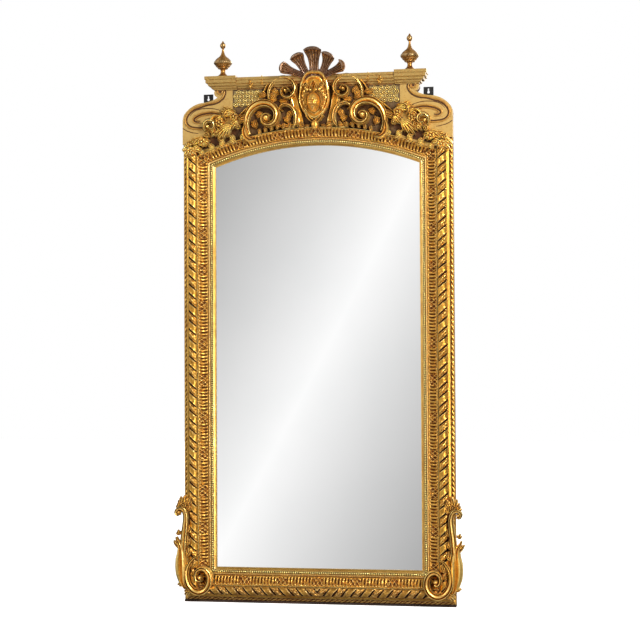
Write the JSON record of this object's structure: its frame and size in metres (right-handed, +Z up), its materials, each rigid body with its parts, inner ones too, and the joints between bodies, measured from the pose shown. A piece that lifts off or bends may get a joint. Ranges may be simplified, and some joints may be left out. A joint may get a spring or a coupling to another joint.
{
  "type": "floor mirror",
  "caption": "Tall gilded pier mirror with an arched plate, ribbon and rope mouldings, carved mask crest, urn finials and keyhole wall plates.",
  "frame": {"origin": "middle of the foot's back edge, where the floor meets the wall plane", "axes": "+Z up, +X to the viewer's right, the mirror faces -Y and its flat back lies on Y = 0"},
  "size_m": [1.252, 0.1575, 2.44],
  "materials": {
    "gilding": "water-gilded composition on pine, rubbed to the bole",
    "burnished_gilding": "burnished gold leaf on pine",
    "bronzed_gilding": "carved wood with worn, bronze-toned gilding",
    "back_pine": "old bare pine, stained dark; gilded where its edge shows",
    "plinth_wood": "dark stained hardwood",
    "silvered_glass": "silvered plate glass",
    "black_steel": "black painted steel plate",
    "screw_steel": "dull steel"
  },
  "bodies": {
    "root": {"back_battens": "back_pine", "backboard_left": "back_pine", "backboard_right": "back_pine", "bottom_rail": "back_pine", "cartouche": "gilding", "corner_acanthus_left": "gilding", "corner_acanthus_right": "gilding", "corner_flower_left": "gilding", "corner_flower_right": "gilding", "corner_volute_left": "gilding", "corner_volute_right": "gilding", "cornice_cap_left": "gilding", "cornice_cap_right": "gilding", "cornice_middle": "gilding", "crest_back": "back_pine", "crest_face": "gilding", "diaper_left": "gilding", "diaper_right": "gilding", "finial_left": "bronzed_gilding", "finial_right": "bronzed_gilding", "garland_left": "gilding", "garland_right": "gilding", "glass_blocks": "back_pine", "great_scroll_left": "gilding", "great_scroll_right": "gilding", "hanging_plates": "black_steel", "head_rail": "back_pine", "headdress": "gilding", "inner_scroll_left": "gilding", "inner_scroll_right": "gilding", "leaf_cove_arch": "gilding", "leaf_cove_foot": "gilding", "leaf_cove_left": "gilding", "leaf_cove_right": "gilding", "mask_head": "gilding", "mirror_glass": "silvered_glass", "pendant_drop": "gilding", "plate_screws": "screw_steel", "plinth_strip": "plinth_wood", "ribbon_torus_foot": "gilding", "ribbon_torus_left": "gilding", "ribbon_torus_right": "gilding", "rope_foot": "gilding", "rope_left": "gilding", "rope_right": "gilding", "shell_plumes": "bronzed_gilding", "shoulder_left": "gilding", "shoulder_right": "gilding", "shoulder_scroll_left": "gilding", "shoulder_scroll_right": "gilding", "sight_arch": "burnished_gilding", "sight_foot": "burnished_gilding", "sight_left": "burnished_gilding", "sight_right": "burnished_gilding", "stile_left": "back_pine", "stile_right": "back_pine", "upper_scroll_left": "gilding", "upper_scroll_right": "gilding"}
  },
  "joints": []
}
